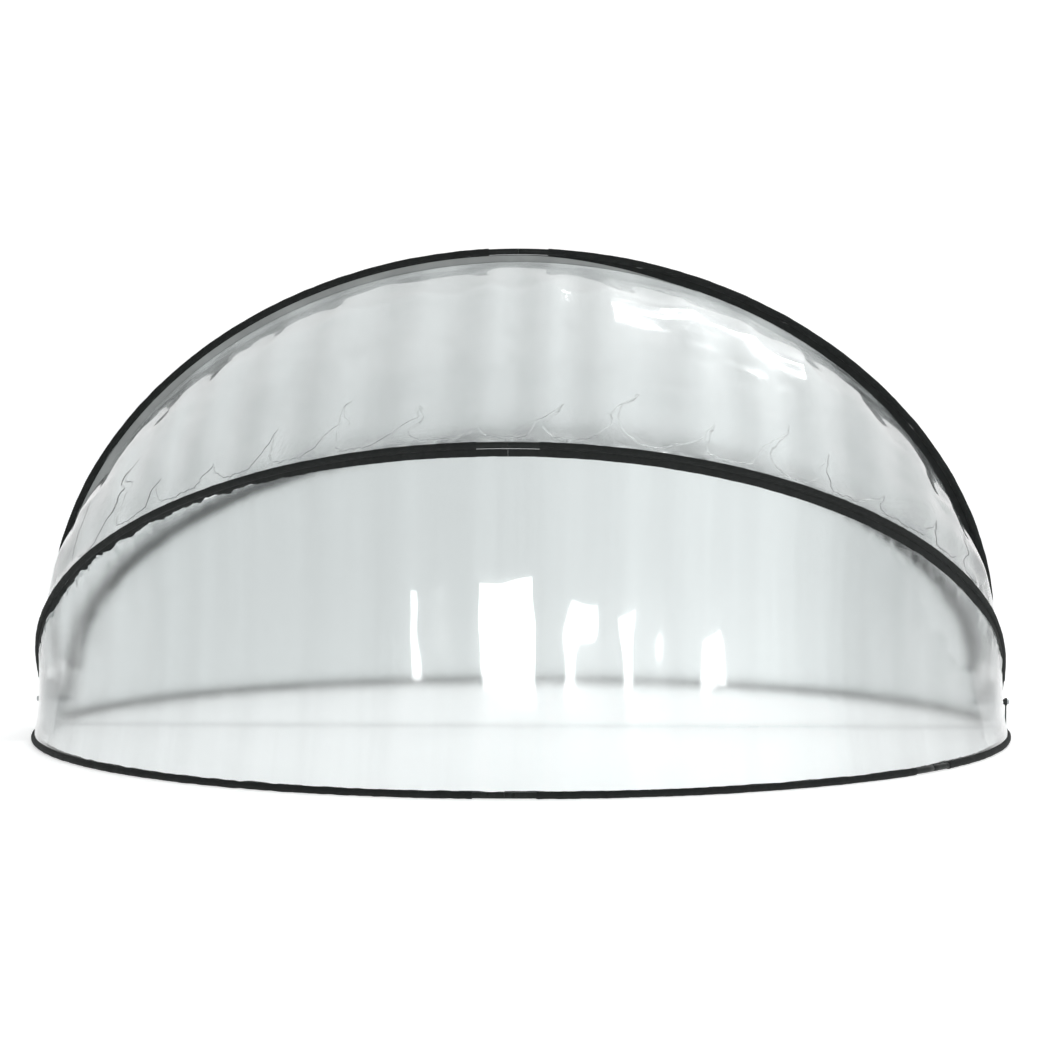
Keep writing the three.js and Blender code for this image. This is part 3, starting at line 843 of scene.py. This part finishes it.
# Where the top hoop's welded hem ends, as angles from the right hinge.
HEM_RIGHT_END = 1.18
HEM_LEFT_END = math.pi - 0.31


def hem_edge(turn):
    """How far from the tube's centre the top hoop's welded hem starts. It narrows to the right."""
    return FIN_ROOT + 0.003 + (FIN_LENGTH - 0.002) * smooth(0.0, 0.4, np.cos(turn))


def gathers(panel, seed, size, reach, edge, where):
    """Fine crumples beside an edge, in the parts of the arc where the given function is high."""
    inward = panel.from_low if edge == "low" else panel.from_high
    fade = smooth(0.0, 0.02, inward) * (1 - smooth(0.3 * reach, reach, inward))
    wave = ripple(seed, panel.arc, 0.35 * inward, 0.06, 0.16, 18)
    panel.move(size * fade * wave * where(panel.turn)[:, None])


def front_panel():
    def high_line(turn):
        return on_fin(FRONT, turn, front_lean(turn), FIN_ROOT + front_fin(turn) - 0.007, 0.0026)

    def mostly_at_the_sides(turn):
        return 0.35 + 0.65 * smooth(0.3, 0.7, np.abs(np.cos(turn)))

    panel = Panel(1.3, along_sleeve(FRONT_RING, 1), high_line, width=1.6, sag=0.06)
    panel.flutes(0.0014, 3, 0.35)
    panel.unevenness(21, 0.25)
    gathers(panel, 31, 0.0015, 0.10, "high", mostly_at_the_sides)
    return panel


def upper_front_panel():
    def high_line(turn):
        return on_fin(TOP, turn, TOP_LEAN, FIN_ROOT + top_fin(turn) - 0.002, -0.0032)

    panel = Panel(5.6, along_sleeve(FRONT, 1), high_line, width=1.66, sag=-0.03)
    panel.crease(0.03)
    panel.flutes(0.005, 5, 0.45)
    panel.unevenness(22)
    gathers(panel, 32, 0.002, 0.10, "low", same(1))
    return panel


def upper_rear_panel():
    panel = Panel(5.6, along_sleeve(TOP, 1), along_sleeve(REAR, -1), width=2.7, sag=0.07)
    panel.flutes(0.008, 7, 0.5)
    panel.unevenness(23)
    return panel


def rear_panel():
    low_line = along_sleeve(REAR, 1)
    high_line = along_sleeve(REAR_RING, -1)
    panel = Panel(8.6, low_line, high_line, width=1.52, sag=0.04)
    panel.flutes(0.007, 9, 0.35)
    panel.unevenness(24)
    return panel


PANELS = [
    # CAD node, builder, material, bodies (of the high edge, then of the low one), flat width and length
    ("front_panel", front_panel, FRONT_CLEAR, ("front_hoop", "front_ring"), (1.66, 7.75)),
    ("upper_front_panel", upper_front_panel, UPPER_CLEAR, ("top_hoop", "front_hoop"), (1.78, 7.45)),
    ("upper_rear_panel", upper_rear_panel, REAR_CLEAR, ("base", "top_hoop"), (2.62, 7.3)),
    ("rear_panel", rear_panel, REAR_CLEAR, ("base",), (1.58, 7.1)),
]


def add_panel(name, build, material, bodies, flat):
    """A panel on its body. A panel between two bodies is left in place with its transform baked; its
    weights from the first body to the second are worked out but not used, so it is not blended.
    """
    panel = build()
    obj = panel.object(f"{name}_clear", material)
    if len(bodies) == 1:
        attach(obj, bodies[0])
    else:
        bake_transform(obj)
        weight = 1 - panel.weights()  # from the first body, at the high edge, to the second
    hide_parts(name)


for entry in PANELS:
    add_panel(*entry)


def top_hem():
    """The hem of the upper front panel, welded to the front of the top hoop's fin."""
    turn = stations(HEM_RIGHT_END, HEM_LEFT_END, TOP, 0.02)
    low = hem_edge(turn)
    high = np.full(len(turn), FIN_ROOT + FIN_LENGTH + 0.0015)
    share = np.linspace(0, 1, 7)[None, :]
    reach = low[:, None] * (1 - share) + high[:, None] * share
    wave = 0.0006 * ripple(77, turn[:, None] * 2.4, reach, 0.05, 0.3)
    back = np.full(reach.shape, -0.0014)
    parts = strip(TOP.at(turn), reach, -0.0026 - np.abs(wave), back, TOP_LEAN)
    obj = finished("top_hoop_welded_hem", *parts, HEM, 50)
    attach(obj, "top_hoop")


top_hem()


# ---- ground strap ----------------------------------------------------------------------
def ground_strap():
    """The strap between the hubs, with thinned edges, as long as its CAD node."""
    low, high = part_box("ground_strap")
    count = 240
    x = np.linspace(low.x, high.x, count)
    middle = (low.z + high.z) / 2
    centre = np.stack([x, np.zeros(count), np.full(count, middle)], axis=1)
    outward = np.tile([0.0, 1.0, 0.0], (count, 1))
    normal = np.tile([0.0, 0.0, 1.0], (count, 1))
    half_width = (high.y - low.y) / 2
    half = (high.z - low.z) / 2
    edge = half_width - half
    outline = np.array([
        (-edge, -half), (0, -half), (edge, -half), (half_width, 0),
        (edge, half), (0, half), (-edge, half), (-half_width, 0),
    ])
    parts = sweep((centre, outward, normal), [np.tile(outline, (count, 1, 1))])
    obj = finished("ground_strap_webbing", *parts, WEBBING, 50)
    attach(obj, "base")
    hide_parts("ground_strap")


ground_strap()

# ---- CAD nodes that stay ---------------------------------------------------------------
def metal_for(name):
    if "spacer" in name:
        return NYLON
    if "arm" in name and "bracket" not in name:
        return BLACK_STEEL
    return STEEL


for name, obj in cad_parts.items():
    if not obj.hide_render:
        obj.data.materials.clear()
        obj.data.materials.append(metal_for(name))


# ---- floor, light and camera -----------------------------------------------------------
CAMERA_DISTANCE = 7.836 * RING_RADIUS
CAMERA_YAW = 0.0305
CAMERA_PITCH = 0.0642
CAMERA_HEIGHT = 2.330
CAMERA_LENS = 130.67
CAMERA_SENSOR = 36
CAMERA_SHIFT = 0.0028
VIEW_LIMIT = 500
FLOOR_SIZE = 400
FLOOR_DROP = 0.0005


def floor_material():
    """White, with a glow of its own that is stronger to the right."""
    material, tree, shader = new_material("floor")
    shader.inputs["Base Color"].default_value = (0.9, 0.9, 0.9, 1)
    shader.inputs["Roughness"].default_value = 0.9
    shader.inputs["Emission Color"].default_value = (1, 1, 1, 1)
    place = node(tree, "ShaderNodeNewGeometry").outputs["Position"]
    split = node(tree, "ShaderNodeSeparateXYZ", {"Vector": place})
    depth = maths(tree, "ADD", split.outputs["Y"], 19.4)
    rightward = maths(tree, "DIVIDE", split.outputs["X"], depth)
    rightward = clamped(tree, rightward, -0.18, 0.15)
    glow = maths(tree, "ADD", maths(tree, "MULTIPLY", rightward, 0.35), 0.58)
    tree.links.new(glow, shader.inputs["Emission Strength"])
    return material


bpy.ops.mesh.primitive_plane_add(size=FLOOR_SIZE)
floor = bpy.context.object
floor.name = "floor"
floor.data.materials.append(floor_material())
floor.location.z = -FLOOR_DROP

scene = bpy.context.scene
scene.view_settings.view_transform = "Standard"


def studio_world():
    """Soft light that is grey in front and overhead, white behind, and dimmer to both sides."""
    world = bpy.data.worlds.new("studio")
    world.use_nodes = True
    tree = world.node_tree
    direction = node(tree, "ShaderNodeTexCoord").outputs["Generated"]
    split = node(tree, "ShaderNodeSeparateXYZ", {"Vector": direction})
    ahead = maths(tree, "MULTIPLY", split.outputs["Y"], -1.0)
    over = maths(tree, "ABSOLUTE", maths(tree, "ARCTAN2", split.outputs["Z"], ahead))
    over = maths(tree, "MULTIPLY", over, 1 / math.pi)  # 0 in front, 0.5 overhead, 1 behind
    colour = ramp(tree, over, [
        (0.0, (0.48, 0.5, 0.5)),
        (0.3, (0.42, 0.44, 0.44)),
        (0.48, (0.3, 0.31, 0.315)),
        (0.64, (0.7, 0.71, 0.71)),
        (0.82, (1, 1, 1)),
    ])
    right = maths(tree, "MULTIPLY", split.outputs["X"], 0.45)
    not_behind = maths(tree, "SUBTRACT", 1.0, maths(tree, "POWER", over, 3.0))
    strength = maths(tree, "ADD", maths(tree, "MULTIPLY", right, not_behind), 1.1)
    sides = stepped(tree, maths(tree, "ABSOLUTE", split.outputs["X"]), 0.25, 0.8)
    dimmer = maths(tree, "SUBTRACT", 1.0, maths(tree, "MULTIPLY", sides, 0.35))
    strength = maths(tree, "MULTIPLY", strength, dimmer)
    background = tree.nodes["Background"]
    tree.links.new(colour, background.inputs["Color"])
    tree.links.new(strength, background.inputs["Strength"])
    return world


scene.world = studio_world()


def softbox(name, place, aim, width, height, radiance, along=(1, 0, 0)):
    """A rectangular light that faces aim, with its width along the given direction."""
    data = bpy.data.lights.new(name, "AREA")
    data.shape = "RECTANGLE"
    data.size = width
    data.size_y = height
    data.energy = radiance * math.pi * width * height
    back = (Vector(place) - Vector(aim)).normalized()
    side = (Vector(along) - back * back.dot(Vector(along))).normalized()
    rotation = Matrix((side, back.cross(side), back)).transposed().to_4x4()
    light = bpy.data.objects.new(name, data)
    light.matrix_world = Matrix.Translation(place) @ rotation
    scene.collection.objects.link(light)


SOFTBOX_DISTANCE = 9.4
SOFTBOX_CENTRE_Y = -2.2
SOFTBOX_AIM = (0, -2.3, 0.6)
SOFTBOX_RADIANCE = 13
FRONT_SOFTBOXES = [
    # direction from straight ahead, height of the middle, width, height
    (-0.414, 6.5, 0.50, 0.80),
    (-0.031, 6.9, 1.25, 1.15),
    (0.325, 6.9, 0.45, 1.20),
    (0.569, 6.5, 1.20, 0.90),
    (0.949, 5.4, 0.60, 0.80),
]
for number, (direction, middle, width, height) in enumerate(FRONT_SOFTBOXES):
    x = SOFTBOX_DISTANCE * math.sin(direction)
    y = SOFTBOX_CENTRE_Y - SOFTBOX_DISTANCE * math.cos(direction)
    softbox(
        f"front_softbox_{number}", (x, y, middle), SOFTBOX_AIM, width, height, SOFTBOX_RADIANCE
    )
softbox(
    "right_softbox", (3.05, 4.45, 7.7), (0.85, -0.8, 2.1), width=3.4, height=0.35, radiance=20,
    along=(2.5, 0.6, -1.5),
)

lens = bpy.data.cameras.new("camera")
lens.lens = CAMERA_LENS
lens.sensor_width = CAMERA_SENSOR
lens.shift_x = CAMERA_SHIFT
lens.clip_end = VIEW_LIMIT
camera = bpy.data.objects.new("camera", lens)
camera.location = (
    math.sin(CAMERA_YAW) * CAMERA_DISTANCE,
    -math.cos(CAMERA_YAW) * CAMERA_DISTANCE,
    CAMERA_HEIGHT,
)
forward = Vector((
    -math.sin(CAMERA_YAW) * math.cos(CAMERA_PITCH),
    math.cos(CAMERA_YAW) * math.cos(CAMERA_PITCH),
    -math.sin(CAMERA_PITCH),
))
camera.rotation_euler = forward.to_track_quat("-Z", "Y").to_euler()
scene.collection.objects.link(camera)
scene.camera = camera
